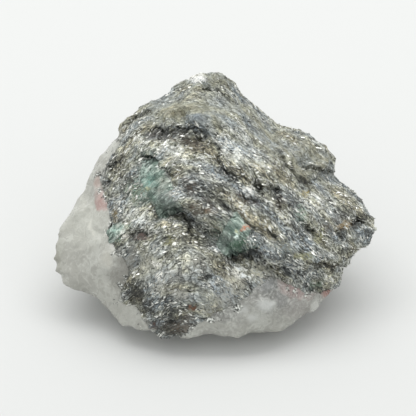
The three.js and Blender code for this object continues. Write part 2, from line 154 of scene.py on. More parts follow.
# Mica schist: thin layers of mica and fine quartz that were squeezed into each other. Its layers
# wrap round the crystals in an arch over the face, and it breaks into small tilted plates.
ARCH_TOP = -5
ARCH_ROUNDING = 6
ARCH_SLOPE = 0.9
FRONT_FROM = -9
SCALE_LENGTH = 0.24
FINE_GRAIN = 0.18
FIBRE_WIDTH = 0.18
STREAK_WIDTH = 0.8
FOLD_LENGTH = 1.8
FOLD_REACH = 1
HUE_PATCH = 3
GRAIN_SIZE = 1.7
LEDGE_BACK = 1.6
LEDGE_FOOT = 0.9
LEDGE_FADE = 0.2
# The width of the gap at a ledge's foot, in mm, and how dark the shade painted in it is.
CRACK_WIDTH = 0.27
CRACK_PAINTED_SHADE = 1.7
CONTACT_PATCH = 1.8
CONTACT_EDGE = 0.5
EDGE_STRAY = 0.7
EDGE_PATCH = 1.1
# The pattern of the scales is drawn out along the layers, and that of the fibres more still.
LAYER_STRETCH = (0.27, 1, 1)
FIBRE_STRETCH = (0.1, 1, 1)
# How strongly each part of the pattern shows, and the range of the sum that the colours span.
FINE_GRAIN_SHARE = 0.45
FIBRE_CONTRAST = 2
CALM_SHADE = 1.5
GRAIN_CONTRAST = 1.2
TONE_CONTRAST = 0.42
SHADE_RANGE = {"From Min": 1.2, "From Max": 2.75}
JOINT_SHADE = {"From Max": 0.1, "To Min": -1.5, "To Max": -0.4}
# The relief of the break: heights in mm, and sizes in mm along the layers, across them and out
# of the face. Each row of plates is their height, size and seed.
SWELL_HEIGHT = 0.3
SWELL_SIZE = (5, 1.5, 1.5)
PLATES = [(0.3, (3.4, 1.1, 1.1), 0), (0.2, (1.5, 0.6, 0.6), 7.7)]
CRUMB_HEIGHT = 0.06
CRUMB_SIZE = (0.8, 0.35, 0.35)
CALM_EVENNESS = 0.7

# Painted shade where the mica lies in hollows and under lips, with darker mica in some of them,
# and painted highlights where its plates catch the light: [mm across, mm up, half its width,
# half its height, slope in degrees, how strongly].
DARK_MICA_AND_PAINTED_SHADE = [
    (-11.2, 14.2, 2.6, 1.2, 0, 0.7),
    (-4.8, 13.6, 3.8, 1.6, -20, 0.7),
    (-1.6, 14, 1.6, 0.9, -20, 0.6),
    (-12.8, 9.2, 2.4, 0.7, -20, 0.5),
    (-19.5, 8.4, 2.4, 1, 35, 0.6),
    (-17, 5.2, 1.8, 1.5, 0, 0.5),
    (-4.9, 3.2, 1.2, 1.4, 0, 0.7),
    (3.4, 6.4, 3, 1.4, -30, 0.6),
    (5, 6.2, 1.4, 0.8, 0, 0.6),
    (9, 4, 1, 2.6, -10, 0.6),
    (12.8, 1.8, 1, 2.2, 10, 0.8),
    (7.4, 1, 2.4, 1, -15, 0.5),
    (15, 1, 2, 1.6, 0, 0.5),
    (-8, -1.4, 2.9, 1.3, -6, 0.4),
    (-1.4, 1.6, 4, 2, -30, 0.6),
    (-4.6, -4, 1, 2, 15, 0.8),
    (-3.2, -5.8, 4, 2.2, -10, 0.5),
    (1.4, 24.6, 3, 1.2, 0, 0.4),
    (-1.6, -6.4, 2, 2.2, -20, 0.8),
    (-15, -6, 2.4, 1.2, 0, 0.8),
    (-19.6, -7.9, 0.8, 0.7, 0, 0.9),
    (8.2, -5.6, 2, 1.6, -30, 0.6),
    (6.4, -9.6, 3.6, 1, 10, 1.3),
    (13.6, -10, 2.4, 1, 0, 0.7),
    (14.6, -13.6, 1, 0.6, 0, 0.9),
    (17, -13.7, 0.7, 0.5, 0, 1),
    (20.6, -16.6, 2.2, 1, -10, 0.6),
    (25.6, -1.6, 2, 1.4, 20, 0.7),
    (-0.6, 0.6, 2.6, 0.9, -40, 0.5),
    (10.6, -1.4, 1.8, 0.7, -40, 0.5),
    (16.6, -5.4, 2.2, 0.7, -45, 0.5),
    (18.6, 3.8, 2.4, 0.8, -45, 0.5),
    (21.4, -12, 3.6, 0.6, -12, 0.9),
    (26, -9.4, 1.8, 0.8, 50, 0.6),
    (28.6, -3.8, 1.6, 0.8, 20, 1),
    (25.6, -5.4, 1, 1.2, -30, 0.9),
    (30.4, -2.4, 1.6, 0.6, 0, 0.8),
    (31, -5.6, 1, 0.6, 0, 0.7),
    (-15.6, -17.4, 2.2, 2.6, 0, 1.1),
    (-13.4, -20.6, 2, 1.4, -30, 0.8),
    (-8, -22.4, 3.4, 2.4, 0, 0.8),
    (-8, -24.8, 3.4, 1.6, 5, 1),
    (-11.8, -23.8, 1, 1, 0, 1),
    (-4.6, -20.6, 1.2, 0.9, 0, 0.6),
    (-8, -18.9, 2.6, 0.6, 0, 0.5),
]
# Painted highlights: lighter colour where the mica's plates would catch the light.
MICA_PAINTED_HIGHLIGHTS = [
    (-14, 12.4, 2.6, 0.9, 0, 0.8),
    (-11, 11.6, 2.4, 1, -10, 0.7),
    (-6.8, 10.2, 3.4, 1.8, -20, 1),
    (-9.4, 8.2, 2, 1.2, -30, 0.6),
    (1.2, 13.6, 2.2, 1, -20, 0.7),
    (4, 10.4, 3.6, 2.2, -30, 0.9),
    (9, 8.4, 2.4, 1, -35, 0.9),
    (-8, 2.2, 1.8, 1, -35, 1),
    (0.2, 5.4, 1.2, 0.8, 0, 0.5),
    (-2.4, 2.8, 3, 0.5, -30, 0.3),
    (7, 2.8, 1.6, 0.8, -35, 1),
    (5, 0.6, 2.6, 0.8, -35, 1),
    (8, -3, 3, 0.7, -20, 0.8),
    (-15.2, -2.4, 2.6, 2, 20, 0.8),
    (-18.4, -5, 1.6, 0.5, 25, 0.9),
    (-9.8, -3.6, 1, 0.5, -45, 1),
    (19.6, 1, 2, 1.8, -30, 0.9),
    (14, -2.4, 1.4, 0.5, -30, 0.9),
    (24.4, -2.2, 1.2, 0.8, 0, 0.8),
    (-8, -20.4, 1, 0.6, 0, 0.3),
    (1.4, -15.6, 2.6, 0.9, 0, 0.7),
    (4.8, -13.6, 1.2, 1.6, -40, 1),
    (23, -14.6, 1, 0.6, 0, 1),
]
# Ledges where one layer broke off over the next, with shade painted in the gap at their foot:
# how far the left-hand side stands up, in mm, and the points of the line, in mm across and up.
LEDGES = [
    (
        0.8,
        [(1.4, -9.6), (3.6, -9.8), (6, -8.6), (8.4, -8.8), (10.2, -11), (11.2, -11.8), (15.4, -12.8)],
    ),
    (0.5, [(-15, 9.4), (-14, 10), (-12.8, 10), (-10.8, 8.8), (-8.8, 7), (-7.4, 6)]),
    (0.25, [(-22.2, 7), (-20.8, 7.8), (-19.2, 9), (-17.6, 9.6)]),
    (0.4, [(-22, 3.8), (-21.2, 4.6), (-20, 5.2)]),
    (0.25, [(-13.6, 15), (-11.2, 15.6), (-8.8, 14.4), (-7.2, 15.6), (-3.8, 15.4), (-1.2, 14.8)]),
    (0.4, [(1, 7.6), (1, 10.6), (0.4, 11.8), (-0.8, 12.6)]),
    (0.3, [(1.4, 8.6), (2.2, 7.4), (4.4, 6), (6, 5.2)]),
    (0.35, [(4.6, 3.2), (6.6, 2), (8, 1.2), (10, 0.6)]),
    (0.3, [(8.4, 5.6), (9.2, 3.4), (9.6, 0.6)]),
    (0.35, [(10.4, 5.8), (12.6, 3), (13.2, 1.4), (13.2, -0.8)]),
    (0.3, [(1, 2.2), (1.8, 1.2), (2.4, 0), (3.4, -1.6)]),
    (0.4, [(17, -2.2), (18.4, -4), (19.6, -5.2), (21.4, -6.4)]),
    (0.5, [(18.6, -11.5), (20.8, -11), (22.2, -11.2), (23.4, -12), (24.4, -13.2)]),
    (0.4, [(24, -11.3), (25.4, -12), (27, -12.2)]),
    (0.5, [(27, -3.8), (28.6, -2.8), (30.6, -2.6)]),
    (
        0.5,
        [(-11.6, -0.6), (-9.6, -0.5), (-7.8, -0.3), (-6.2, -1.2), (-5, -3.4), (-4.6, -5), (-2.8, -7.6)],
    ),
    (0.4, [(-8.6, -16.8), (-6, -17.2), (-4.4, -17)]),
    (0.4, [(-11.8, -19.1), (-10.2, -18.8), (-8.6, -17.9)]),
    (0.4, [(-3, -15.1), (-1.6, -14.2), (-0.4, -14)]),
    (0.4, [(16.8, 7.6), (19.6, 7.4), (22.2, 7.2), (24.8, 6.3)]),
    (0.3, [(12.8, 11.6), (14, 9), (15.6, 7), (17.8, 5), (20.8, 3.4)]),
    (0.25, [(-3.8, 22.9), (-1.6, 23.4), (0.4, 22.6), (2.8, 21.4), (5, 20.2)]),
    (0.3, [(-18.8, 15.7), (-16, 17.2), (-13.8, 18.5), (-11.6, 19.3)]),
    (0.4, [(10.6, -4.2), (12.4, -6.4), (14, -8)]),
]
# Rust, green, white and other tints in the stone, with painted shade and highlights at some
# places: [mm across, mm up, half its width, half its height, slope in degrees, how strongly,
# colour].
SCHIST_TINTS_AND_PAINTED_LIGHT = [
    (-12.2, 5.6, 3, 4.8, 12, 0.5, "#7c988d"),
    (-14.6, 2.6, 3, 2.4, 0, 0.55, "#708f84"),
    (-9.6, 0.6, 3, 1.8, -10, 0.5, "#627569"),
    (2.6, -5.6, 3.4, 2.8, 0, 0.5, "#63776d"),
    (5.6, -8.6, 3.4, 1.4, 12, 0.55, "#3c5a4a"),
    # Painted shadow: the near-black line under the lip below the middle emerald.
    (5.4, -10, 3.6, 0.5, 8, 0.95, "#1b211e"),
    (9.8, -10.4, 1.4, 0.4, -50, 0.9, "#1b1d1c"),
    (13.4, -12.4, 2.4, 0.4, -14, 0.8, "#232523"),
    # Painted shade: the quartz's shaded grey reaching into the schist.
    (-16.4, -10.6, 1.2, 3.2, -8, 0.9, "#7b7b75"),
    (-20, -6, 1.6, 1.6, 0, 0.6, "#6e9084"),
    (-18.4, -4.8, 2, 0.6, 25, 0.5, "#b7cabf"),
    (17.4, -1.6, 1, 1.8, 10, 0.5, "#7b9384"),
    (20.4, -16, 1.6, 0.8, -10, 0.5, "#7f9484"),
    (13.2, -8.6, 2.8, 1.8, -20, 0.5, "#8a969c"),
    (-3.4, 17.4, 4, 1.4, 0, 0.35, "#7d868a"),
    (25.8, -4, 1.6, 0.9, 20, 0.6, "#8a6d33"),
    (18.6, 2.3, 0.8, 0.6, 0, 0.7, "#8f7d33"),
    (21.4, -6, 2.4, 0.8, 60, 0.4, "#a7a67c"),
    (18, -10.2, 2, 0.8, 0, 0.45, "#a9a878"),
    (-4.4, -20.6, 0.8, 0.6, 0, 0.9, "#6a4a36"),
    (-11.8, -24, 0.7, 0.7, 0, 0.7, "#4f3327"),
    (-7.4, -24.4, 3.6, 1.6, 5, 0.5, "#5c4f40"),
    (-5.2, -22.6, 1.6, 1, 0, 0.4, "#67594a"),
    (-15.2, -17.4, 1.4, 1.8, 0, 0.25, "#3a3632"),
    (-8.7, -7.2, 0.8, 0.9, 0, 0.8, "#77764f"),
    (-1, 25, 5, 2.2, 0, 0.3, "#8f8f78"),
    (-3.2, 25.3, 1.7, 1, 0, 0.9, "#e8e8e4"),
    (-5, 18.5, 11, 2.4, 0, 0.25, "#85846c"),
    (18, 10, 5, 3.4, -30, 0.3, "#94917c"),
    (-4.6, 3.4, 1.3, 1.5, 0, 0.65, "#564a3e"),
    (5.4, 1.4, 2.4, 1, -20, 0.6, "#584a3d"),
    (7.4, 0.6, 1.6, 0.8, -10, 0.6, "#443b35"),
    (12.8, 0.4, 1, 1.8, -20, 0.5, "#4d453d"),
    (24.6, -3, 1.6, 1.2, 0, 0.5, "#4a4237"),
    (22.8, -4.6, 1.2, 1, 0, 0.5, "#5b5040"),
    # Painted shade: dark brown in the hollow under the shoulder's lip.
    (-5.2, 12.8, 3.2, 1.2, -22, 0.7, "#4a4238"),
    (-11.2, 13.8, 2.6, 1, 0, 0.65, "#47423a"),
    (-8.6, 13.2, 1.2, 0.7, -20, 0.5, "#61543f"),
    (-1.2, -1.2, 1.4, 0.7, 0, 0.5, "#85715c"),
    (-3.4, -0.8, 2, 1.2, -30, 0.55, "#5c5045"),
    (-1.4, 0.6, 1.8, 0.7, -35, 0.5, "#54493f"),
    (-6, 5.2, 1.8, 0.7, -35, 0.45, "#574b40"),
    (-19.6, -1.8, 0.5, 2.4, 0, 0.6, "#8a7a52"),
    (-14.4, -6.4, 1.8, 0.8, 0, 0.6, "#6d5a53"),
    (7, 2.6, 1.1, 0.6, -35, 0.65, "#efede7"),
    (-17.6, -6.2, 0.7, 0.6, 0, 0.8, "#d5d3cb"),
    (-13.2, -11.6, 2.2, 2.6, 0, 0.65, "#b0b1a7"),
    (-14, -14.4, 1.6, 2.4, 0, 0.55, "#a4a59b"),
    # Painted highlights: two white glints.
    (-11.4, -11.9, 1.1, 0.6, 0, 0.95, "#e2e1da"),
    (-11, -14.3, 0.9, 0.8, 30, 0.95, "#ecebe2"),
    (-10.8, -16.4, 1.6, 1.6, 0, 0.6, "#b4b3a8"),
    (-8.2, -14.2, 2.6, 2, 0, 0.6, "#9fa09a"),
    (-3.2, -11.4, 3, 2.2, 0, 0.45, "#aeada2"),
    (-7, -18, 1.9, 0.9, -8, 1, "#b4b4ac"),
    (-1.6, -19.4, 2.4, 2.4, 0, 0.65, "#a3a7a2"),
    (2.2, -18.8, 2.6, 2.6, 0, 0.65, "#9c9d97"),
    (8.8, -13.2, 2.2, 1.6, 20, 0.75, "#cfcdba"),
    (4.2, -15.8, 2.4, 2.2, 20, 0.6, "#c6c4b6"),
    (4.6, -13.8, 0.7, 1.4, 35, 0.9, "#e6e5dc"),
    (9, -16.2, 1, 1.4, -30, 0.5, "#a9a9a0"),
]
# Where the stone is worn calm and its mica lies even.
CALM = [
    (-8, -13.4, 7, 3.6, 0, 0.55),
    (-1, -19, 6, 3, 0, 0.5),
    (-3, 19, 13, 3.6, 0, 0.7),
    (-1, 25, 7, 3, 0, 0.5),
    (11, 13, 6, 3, -45, 0.7),
    (18, 8, 7, 6, -40, 0.45),
]
# Where grains of quartz in the schist stand side by side, with dark mica between them.
GRAINY = [
    (-8, -13, 8, 4, 0, 0.55),
    (5, -13.6, 6, 3.4, 10, 0.6),
    (-1, -19, 5, 2.8, 0, 0.5),
    (18, -12.6, 4, 2, -20, 0.4),
]


def grain_places(places):
    """Places of the face along the layers, across them and out of the face. The layers lie in an
    arch with straight flanks."""
    right = places[:, 0] - ARCH_TOP
    arch = ARCH_SLOPE * np.hypot(right, ARCH_ROUNDING)
    steepness = math.hypot(1, ARCH_SLOPE)
    return np.column_stack([right * steepness, (places[:, 1] + arch) / steepness, places[:, 2]])


def noise_at(places, size, seed=0.0):
    """Smooth noise from -1 to 1, with features of a size for each direction, in mm."""
    return np.array([noise.noise(Vector(place)) for place in places / size + seed])


def random_vectors(centres):
    """A vector for each centre, the same every time, with random values from -1 to 1."""
    mixer = np.array([[12.99, 39.35, 73.16], [78.23, 11.14, 52.24], [37.72, 83.16, 9.15]])
    return 2 * np.mod(np.sin(np.floor(centres) @ mixer) * 4375.85, 1) - 1


def tilted_plates(places, size, seed=0.0):
    """The surface of small flat plates, each with its own tilt and height, from about -1 to 1."""
    scaled = places / size + seed
    centres = np.array([noise.voronoi(Vector(place))[1][0] for place in scaled])
    tilts = random_vectors(centres)
    return ((scaled - centres) * tilts).sum(axis=1) + 0.3 * tilts[:, 0]


def ragged(places, reach, size):
    """Places pushed about by up to a reach, so that an outline drawn through them is ragged."""
    pushes = [noise_at(places, size, seed) for seed in (0, 31.7, 57.3)]
    return places + reach * np.column_stack(pushes)


def patch_strength(places, patches):
    """How strongly soft patches of the face cover each place."""
    total = np.zeros(len(places))
    for across, up, half_width, half_height, slope, strength in patches:
        turn = math.radians(slope)
        right = places[:, 0] - across
        rise = places[:, 1] - up
        along = (right * math.cos(turn) + rise * math.sin(turn)) / half_width
        beside = (rise * math.cos(turn) - right * math.sin(turn)) / half_height
        total = np.maximum(total, strength * np.exp(-((along**2 + beside**2) ** 1.5)))
    return total * (places[:, 2] > FRONT_FROM)


def beside_line(places, line):
    """Each place's distance from a line, above zero on its left, and its share of the way along."""
    corners = np.array(line, float)
    closest = np.full(len(places), np.inf)
    beside = np.zeros(len(places))
    way = np.zeros(len(places))
    for index, (start, end) in enumerate(zip(corners, corners[1:])):
        run = end - start
        away = places[:, :2] - start
        share = np.clip(away @ run / (run @ run), 0, 1)
        distance = np.hypot(*(away - share[:, None] * run).T)
        left = np.sign(run[0] * away[:, 1] - run[1] * away[:, 0])
        nearer = distance < closest
        closest[nearer] = distance[nearer]
        beside[nearer] = (left * distance)[nearer]
        way[nearer] = ((index + share) / (len(corners) - 1))[nearer]
    return beside, way


def ledge_shape(places):
    """How far the ledges raise each place, in mm, and how far it lies in the gap at their foot,
    where shade is painted.
    """
    rise = np.zeros(len(places))
    crack_shade = np.zeros(len(places))
    for height, line in LEDGES:
        beside, way = beside_line(places, line)
        strength = np.minimum(1, np.minimum(way, 1 - way) / LEDGE_FADE)
        strength *= places[:, 2] > FRONT_FROM
        reach = np.where(beside > 0, LEDGE_BACK, -LEDGE_FOOT)
        rise += height * strength * np.sign(beside) * np.exp(-beside / reach)
        in_crack = np.exp(-(((beside + CRACK_WIDTH / 2) / CRACK_WIDTH) ** 2))
        crack_shade = np.maximum(crack_shade, strength * in_crack * min(1, 2 * height))
    return rise, crack_shade


def neighbour_share(points, others, reach, width):
    """How much a neighbouring mineral shows at points of a piece, from 0 to 1: in ragged patches
    along the contact, by a reach and up to a width more or less, in mm. The sign of the width says
    on which side of the contact the piece lies."""
    distances = nearest_steps(points, others)[1]
    patches = noise_at(points, CONTACT_PATCH) + 0.6 * noise_at(points, CONTACT_PATCH / 3)
    return np.clip(0.5 + (reach + width * patches - distances) / CONTACT_EDGE, 0, 1)


def keep_attribute(mesh, name, kind, field, values):
    """Keeps a value for each vertex, for the material to read."""
    attribute = mesh.attributes.new(name, kind, "POINT")
    attribute.data.foreach_set(field, np.ascontiguousarray(values, np.float32).ravel())


def linear_colour(code):
    """An sRGB hex colour, in the linear values that Blender takes, with an alpha of 1."""
    channels = [int(code[i : i + 2], 16) / 255 for i in (1, 3, 5)]
    return [c / 12.92 if c <= 0.04045 else ((c + 0.055) / 1.055) ** 2.4 for c in channels] + [1]


def tint_values(places, tints_and_painted_light):
    """The colour and strength of soft colour patches at each place, painted shade and highlights
    among them.
    """
    values = np.zeros((len(places), 4))
    for *patch, code in tints_and_painted_light:
        here = patch_strength(places, [patch])
        stronger = here > values[:, 3]
        values[stronger, :3] = linear_colour(code)[:3]
        values[stronger, 3] = here[stronger]
    return values


def new_material(name):
    """A material with one Principled shader, and its node tree and shader."""
    material = bpy.data.materials.new(name)
    material.use_nodes = True
    return material, material.node_tree, material.node_tree.nodes["Principled BSDF"]


def add_node(tree, kind, settings, links=None):
    """Adds a node. A setting is the node's own or an input's value, and a link feeds an input."""
    node = tree.nodes.new("ShaderNode" + kind)
    for name, value in settings.items():
        if isinstance(name, str) and hasattr(node, name):
            setattr(node, name, value)
        else:
            node.inputs[name].default_value = value
    for name, source in (links or {}).items():
        tree.links.new(source, node.inputs[name])
    return node


def set_stops(ramp, stops):
    """Gives a colour ramp its stops: places from 0 to 1 and hex colours."""
    elements = ramp.color_ramp.elements
    while len(elements) < len(stops):
        elements.new(0.5)
    for element, (place, code) in zip(elements, stops):
        element.position = place
        element.color = linear_colour(code)


def scaly_material(name, stops, hues, scale_length, neighbour_stops):
    """A fresh break through small mica scales, which shine one by one, so that the stone looks
    peppered with light and dark, and streaked and folded along its layers. Where it is grainy,
    grains show with dark joints, and along a contact the neighbouring mineral shows in it."""
    material, tree, shader = new_material(name)
    grain = add_node(tree, "Attribute", {"attribute_name": "grain"}).outputs["Vector"]
    tone_and_painted_light = add_node(tree, "Attribute", {"attribute_name": "tone_and_painted_light"}).outputs["Fac"]
    calm = add_node(tree, "Attribute", {"attribute_name": "calm"}).outputs["Fac"]
    grainy = add_node(tree, "Attribute", {"attribute_name": "grainy"}).outputs["Fac"]
    neighbour = add_node(tree, "Attribute", {"attribute_name": "neighbour"}).outputs["Fac"]
    tint_and_painted_light = add_node(tree, "Attribute", {"attribute_name": "tint_and_painted_light"})
    wander = add_node(tree, "TexNoise", {"Scale": 1 / FOLD_LENGTH, "Detail": 1}, {"Vector": grain})
    folded = add_node(
        tree,
        "VectorMath",
        {"operation": "MULTIPLY_ADD", 1: (FOLD_REACH, FOLD_REACH, FOLD_REACH)},
        {0: wander.outputs["Color"], 2: grain},
    ).outputs["Vector"]
    stretched, drawn_out = [
        add_node(tree, "Mapping", {"Scale": stretch}, {"Vector": folded}).outputs["Vector"]
        for stretch in (LAYER_STRETCH, FIBRE_STRETCH)
    ]
    scales = add_node(tree, "TexVoronoi", {"Scale": 1 / scale_length}, {"Vector": stretched})
    of_scale = add_node(tree, "SeparateColor", {}, {"Color": scales.outputs["Color"]})
    fine = add_node(tree, "TexNoise", {"Scale": 1 / FINE_GRAIN, "Detail": 2}, {"Vector": stretched})
    fibres = add_node(
        tree, "TexNoise", {"Scale": 1 / FIBRE_WIDTH, "Detail": 3}, {"Vector": drawn_out}
    )
    streaks = add_node(
        tree, "TexNoise", {"Scale": 1 / STREAK_WIDTH, "Detail": 4}, {"Vector": stretched}
    )
    peppered = add_node(
        tree,
        "Mix",
        {"Factor": FINE_GRAIN_SHARE},
        {"A": of_scale.outputs["Red"], "B": fine.outputs["Fac"]},
    ).outputs["Result"]
    fibred = add_node(
        tree,
        "Math",
        {"operation": "MULTIPLY_ADD", 1: FIBRE_CONTRAST},
        {0: fibres.outputs["Fac"], 2: streaks.outputs["Fac"]},
    ).outputs["Value"]
    calmed = add_node(tree, "Mix", {"B": CALM_SHADE}, {"Factor": calm, "A": fibred}).outputs["Result"]
    joints = add_node(
        tree,
        "TexVoronoi",
        {"feature": "DISTANCE_TO_EDGE", "Scale": 1 / GRAIN_SIZE},
        {"Vector": folded},
    ).outputs["Distance"]
    joint_shade = add_node(tree, "MapRange", JOINT_SHADE, {"Value": joints}).outputs["Result"]
    grains = add_node(tree, "TexVoronoi", {"Scale": 1 / GRAIN_SIZE}, {"Vector": folded})
    of_grain = add_node(tree, "SeparateColor", {}, {"Color": grains.outputs["Color"]})
    grain_shade = add_node(
        tree,
        "Math",
        {"operation": "MULTIPLY_ADD", 1: GRAIN_CONTRAST},
        {0: of_grain.outputs["Red"], 2: joint_shade},
    ).outputs["Value"]
    grained = add_node(
        tree, "Math", {"operation": "MULTIPLY_ADD"}, {0: grainy, 1: grain_shade, 2: calmed}
    ).outputs["Value"]
    mixed = add_node(tree, "Math", {"operation": "ADD"}, {0: peppered, 1: grained}).outputs["Value"]
    # Darker mica, painted shade and painted highlights from the vertices shift the pattern's shade.
    toned = add_node(
        tree, "Math", {"operation": "MULTIPLY_ADD", 1: TONE_CONTRAST}, {0: tone_and_painted_light, 2: mixed}
    ).outputs["Value"]
    evened = add_node(tree, "MapRange", SHADE_RANGE, {"Value": toned}).outputs["Result"]
    ramp = add_node(tree, "ValToRGB", {}, {"Fac": evened})
    set_stops(ramp, stops)
    neighbour_ramp = add_node(tree, "ValToRGB", {}, {"Fac": evened})
    set_stops(neighbour_ramp, neighbour_stops)
    hue_noise = add_node(
        tree, "TexNoise", {"Scale": 1 / HUE_PATCH, "Detail": 4}, {"Vector": stretched}
    )
    hue = add_node(tree, "ValToRGB", {}, {"Fac": hue_noise.outputs["Fac"]})
    set_stops(hue, hues)
    colour = add_node(
        tree,
        "Mix",
        {"data_type": "RGBA", "blend_type": "MULTIPLY", 0: 1},
        {6: ramp.outputs["Color"], 7: hue.outputs["Color"]},
    ).outputs[2]
    broken_edge = add_node(
        tree,
        "MapRange",
        {"From Min": 0.36, "From Max": 0.56, "To Max": 1.4},
        {"Value": fine.outputs["Fac"]},
    ).outputs["Result"]
    # The neighbouring mineral, and colour patches with painted shade and highlights, are mixed in.
    for strength, other in (
        (neighbour, neighbour_ramp.outputs["Color"]),
        (tint_and_painted_light.outputs["Alpha"], tint_and_painted_light.outputs["Color"]),
    ):
        share = add_node(
            tree, "Math", {"operation": "MULTIPLY", "use_clamp": True}, {0: strength, 1: broken_edge}
        ).outputs["Value"]
        colour = add_node(
            tree, "Mix", {"data_type": "RGBA"}, {0: share, 6: colour, 7: other}
        ).outputs[2]
    tree.links.new(colour, shader.inputs["Base Color"])
    rough = add_node(
        tree, "MapRange", {"To Min": 0.25, "To Max": 0.6}, {"Value": of_scale.outputs["Green"]}
    ).outputs["Result"]
    tree.links.new(rough, shader.inputs["Roughness"])
    bump = add_node(tree, "Bump", {"Strength": 0.8, "Distance": 0.05 * MM}, {"Height": mixed})
    tree.links.new(bump.outputs["Normal"], shader.inputs["Normal"])
    return material


def break_heights(grain, calm):
    """How the break through the layers rises and falls, in mm: long swells, plates and crumbs."""
    fine = sum(height * tilted_plates(grain, size, seed) for height, size, seed in PLATES)
    fine += CRUMB_HEIGHT * noise_at(grain, CRUMB_SIZE, 3.3)
    return SWELL_HEIGHT * noise_at(grain, SWELL_SIZE) + fine * (1 - CALM_EVENNESS * calm)


def dress_break(node, tints_and_painted_light, material, neighbour, reach, width):
    """Gives a piece the stone's break and, at each vertex, its place in the grain, how calm and
    grainy it is, how light or dark it is with darker mica, painted shade and painted highlights,
    its colour patches, and how much a neighbouring piece's mineral shows there."""
    places = face_places(surface_points[node])
    grain = grain_places(places)
    calm = patch_strength(places, CALM)
    edge_places = ragged(places, EDGE_STRAY, EDGE_PATCH)
    rise, crack_shade = ledge_shape(edge_places)
    raise_surface(node, break_heights(grain, calm) + rise)
    mesh = surfaces[node].data
    keep_attribute(mesh, "grain", "FLOAT_VECTOR", "vector", grain)
    # Painted shade darkens hollows, the ground under lips and the gaps at the ledges' feet, and painted
    # highlights lighten where the plates would catch the light; darker mica is in it too.
    tone_and_painted_light = (
        patch_strength(edge_places, MICA_PAINTED_HIGHLIGHTS)
        - patch_strength(edge_places, DARK_MICA_AND_PAINTED_SHADE)
        - CRACK_PAINTED_SHADE * crack_shade
    )
    keep_attribute(mesh, "tone_and_painted_light", "FLOAT", "value", tone_and_painted_light)
    keep_attribute(mesh, "calm", "FLOAT", "value", calm)
    keep_attribute(mesh, "grainy", "FLOAT", "value", patch_strength(edge_places, GRAINY))
    share = neighbour_share(surface_points[node], surface_points[neighbour], reach, width)
    keep_attribute(mesh, "neighbour", "FLOAT", "value", share)
    keep_attribute(mesh, "tint_and_painted_light", "FLOAT_COLOR", "color", tint_values(edge_places, tints_and_painted_light))
    mesh.materials.append(material)
    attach(surfaces[node], "root")
    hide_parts(node)


SCHIST_STOPS = [
    (0.04, "#1b1c1a"),
    (0.24, "#464844"),
    (0.42, "#6e706b"),
    (0.58, "#949792"),
    (0.74, "#c1c4bd"),
    (0.9, "#f2f3ed"),
]
MICA_HUES = [(0.34, "#d6e0ee"), (0.46, "#f8fbff"), (0.56, "#fdfaea"), (0.68, "#e9dec6")]
QUARTZ_STOPS = [
    (0.04, "#6b6b66"),
    (0.3, "#83837d"),
    (0.5, "#989892"),
    (0.7, "#aeafa8"),
    (0.9, "#d4d5cf"),
]
VEIN_REACH = 0.4
VEIN_WIDTH = 2.6
schist_finish = scaly_material(
    "mica_schist_fresh_break", SCHIST_STOPS, MICA_HUES, SCALE_LENGTH, QUARTZ_STOPS
)
dress_break("mica_schist", SCHIST_TINTS_AND_PAINTED_LIGHT, schist_finish, "milky_quartz", VEIN_REACH, VEIN_WIDTH)
schist = surfaces["mica_schist"]


# Mica flakes: thin cleavage plates of muscovite and biotite that stand out of the break a little,
# each at its own tilt. They are grains, so they are joined meshes on the schist they grew in.
FLAKE_THICKNESS = 0.04
FLAKE_CORNERS = 5
FLAKE_TILT = 0.3
FLAKE_STRAY = 0.3
# How wide a flake is for its length, and how far from its middle its corners lie.
FLAKE_WIDTHS = (0.12, 0.42)
FLAKE_RIM = (0.35, 0.6)
# The size of the streaks in which the bright flakes lie, in mm.
FLAKE_STREAKS = (3.5, 0.9, 0.9)


def face_values(mesh):
    """The middles of a mesh's faces, in mm, their directions and their areas."""
    size = len(mesh.polygons)
    middles = np.empty(size * 3, np.float32)
    normals = np.empty(size * 3, np.float32)
    areas = np.empty(size, np.float32)
    mesh.polygons.foreach_get("center", middles)
    mesh.polygons.foreach_get("normal", normals)
    mesh.polygons.foreach_get("area", areas)
    return middles.reshape(-1, 3).astype(float) / MM, normals.reshape(-1, 3).astype(float), areas


def unit(vectors):
    """The vectors' directions, each one long."""
    return vectors / np.linalg.norm(vectors, axis=1, keepdims=True)


def grain_directions(points):
    """The direction of the layers' arch at points, in the stone's own frame."""
    right = face_places(points)[:, 0] - ARCH_TOP
    slope = -ARCH_SLOPE * right / np.hypot(right, ARCH_ROUNDING)
    return unit(ACROSS + np.outer(slope, UP_FACE))


